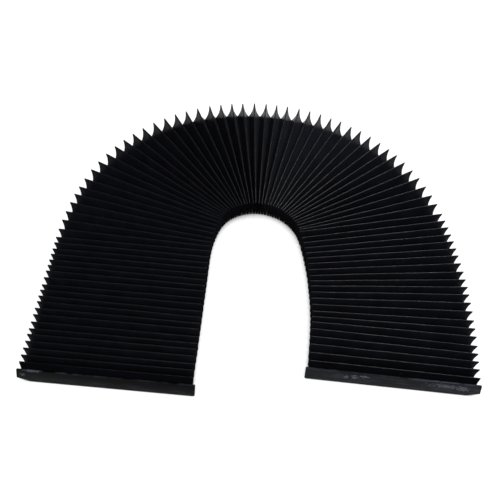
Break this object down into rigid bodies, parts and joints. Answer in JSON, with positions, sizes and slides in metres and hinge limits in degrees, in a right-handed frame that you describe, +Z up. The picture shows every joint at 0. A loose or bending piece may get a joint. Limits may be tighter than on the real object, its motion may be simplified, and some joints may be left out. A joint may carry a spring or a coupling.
{
  "type": "bellows way cover",
  "caption": "Flat pleated black cloth bellows that shields a machine slideway, bent into a horseshoe, with a strip end plate glued to each free end.",
  "frame": {"origin": "on the surface that the cover lies on, under the middle of its outline", "axes": "+Z up, +X from the left leg to the right leg, -Y out of the open end of the horseshoe"},
  "size_m": [0.4859, 0.4332, 0.0204],
  "materials": {
    "coated_cloth": "satin coated",
    "plate_plastic": "satin, scuffed"
  },
  "bodies": {
    "bellows": {"pleated_cover": "coated_cloth"},
    "right_end": {"right_end_plate": "plate_plastic"},
    "left_end": {"left_end_plate": "plate_plastic"}
  },
  "joints": [
    {"name": "right_end_slide", "type": "slide", "parent": "bellows", "child": "right_end", "axis": [-0.0349, -0.9994, 0], "range_m": [-0.06, 0.12], "deforming": ["pleated_cover"]},
    {"name": "left_end_slide", "type": "slide", "parent": "bellows", "child": "left_end", "axis": [-0.0175, -0.9998, 0], "range_m": [-0.06, 0.12], "deforming": ["pleated_cover"]}
  ]
}
